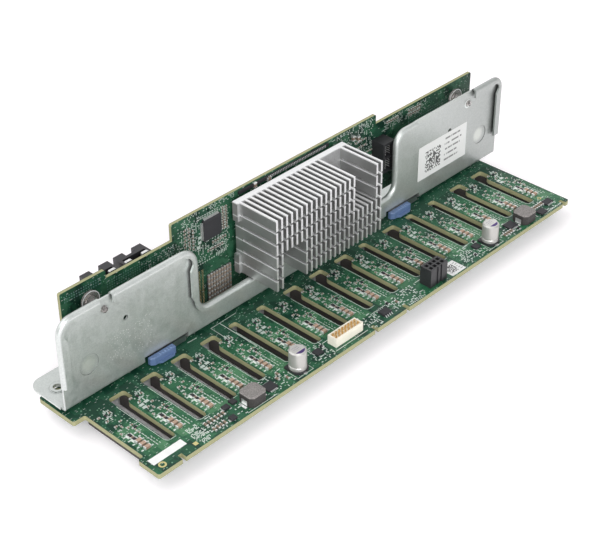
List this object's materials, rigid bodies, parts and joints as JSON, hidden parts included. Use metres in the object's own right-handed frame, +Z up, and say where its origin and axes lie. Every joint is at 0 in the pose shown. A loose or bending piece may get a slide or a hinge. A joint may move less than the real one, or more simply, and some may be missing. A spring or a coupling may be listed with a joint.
{
  "type": "drive backplane board",
  "caption": "Slotted drive backplane board on its drive connectors, with a folded hemmed bracket, an upright expander board and a cross-cut heat sink.",
  "frame": {"origin": "midway along and across the assembly, on the plane of the drive connectors' mouths", "axes": "+X along the board to the right, +Y to the bracket and expander at the back, +Z up from the drive connectors"},
  "size_m": [0.2862, 0.079, 0.0638],
  "materials": {
    "green_laminate": "green solder mask over woven-glass epoxy, satin",
    "black_nylon": "moulded black nylon, matt",
    "galvanised_steel": "hot-dip galvanised sheet, satin",
    "zinc_rivet": "zinc-plated, satin",
    "lever_steel": "dull zinc-plated sheet",
    "blue_plastic": "moulded blue touch-point plastic",
    "sink_aluminium": "extruded and sawn aluminium, satin",
    "white_nylon": "moulded nylon, matt",
    "clear_nylon": "translucent nylon, glossy",
    "can_aluminium": "bright drawn aluminium",
    "ferrite": "pressed ferrite powder, matt",
    "gold_contact": "gold-plated brass",
    "cream_nylon": "moulded cream nylon, matt",
    "chip_epoxy": "moulded black epoxy, matt",
    "thermal_rubber": "filled silicone pad",
    "ceramic": "tan ceramic with tinned ends"
  },
  "bodies": {
    "frame": {"backplane_board": "green_laminate", "board_link_left": "black_nylon", "board_link_right": "black_nylon", "bracket_rivets": "zinc_rivet", "cable_connector_inner": "black_nylon", "cable_connector_outer": "black_nylon", "capacitor_base_left": "black_nylon", "capacitor_base_right": "black_nylon", "capacitor_can_left": "can_aluminium", "capacitor_can_right": "can_aluminium", "chip_capacitors": "ceramic", "drive_connector_01": "black_nylon", "drive_connector_02": "black_nylon", "drive_connector_03": "black_nylon", "drive_connector_04": "black_nylon", "drive_connector_05": "black_nylon", "drive_connector_06": "black_nylon", "drive_connector_07": "black_nylon", "drive_connector_08": "black_nylon", "drive_connector_09": "black_nylon", "drive_connector_10": "black_nylon", "drive_connector_11": "black_nylon", "drive_connector_12": "black_nylon", "drive_connector_13": "black_nylon", "drive_connector_14": "black_nylon", "drive_connector_15": "black_nylon", "drive_connector_16": "black_nylon", "expander_board": "green_laminate", "expander_chip": "chip_epoxy", "expander_front_connector": "black_nylon", "heat_sink": "sink_aluminium", "heat_sink_pins": "white_nylon", "inductor_left": "ferrite", "inductor_right": "ferrite", "lever_pivot_left": "zinc_rivet", "lever_pivot_right": "zinc_rivet", "mounting_bracket": "galvanised_steel", "power_connector": "black_nylon", "power_connector_pins": "gold_contact", "qfp_chip": "chip_epoxy", "signal_header": "cream_nylon", "signal_header_pins": "gold_contact", "small_chips": "chip_epoxy", "so8_chip": "chip_epoxy", "standoff_left": "clear_nylon", "standoff_right": "clear_nylon", "thermal_pad": "thermal_rubber"},
    "latch_left": {"release_cap_left": "blue_plastic", "release_lever_left": "lever_steel"},
    "latch_right": {"release_cap_right": "blue_plastic", "release_lever_right": "lever_steel"}
  },
  "joints": [
    {"name": "latch_left_press", "type": "hinge", "parent": "frame", "child": "latch_left", "pos_m": [-0.0701, 0.0205, 0.0131], "axis": [0, 0, -1], "range_deg": [0, 7], "stiffness_Nm_per_rad": 0.01},
    {"name": "latch_right_press", "type": "hinge", "parent": "frame", "child": "latch_right", "pos_m": [0.0859, 0.0205, 0.0131], "axis": [0, 0, -1], "range_deg": [0, 7], "stiffness_Nm_per_rad": 0.01}
  ]
}
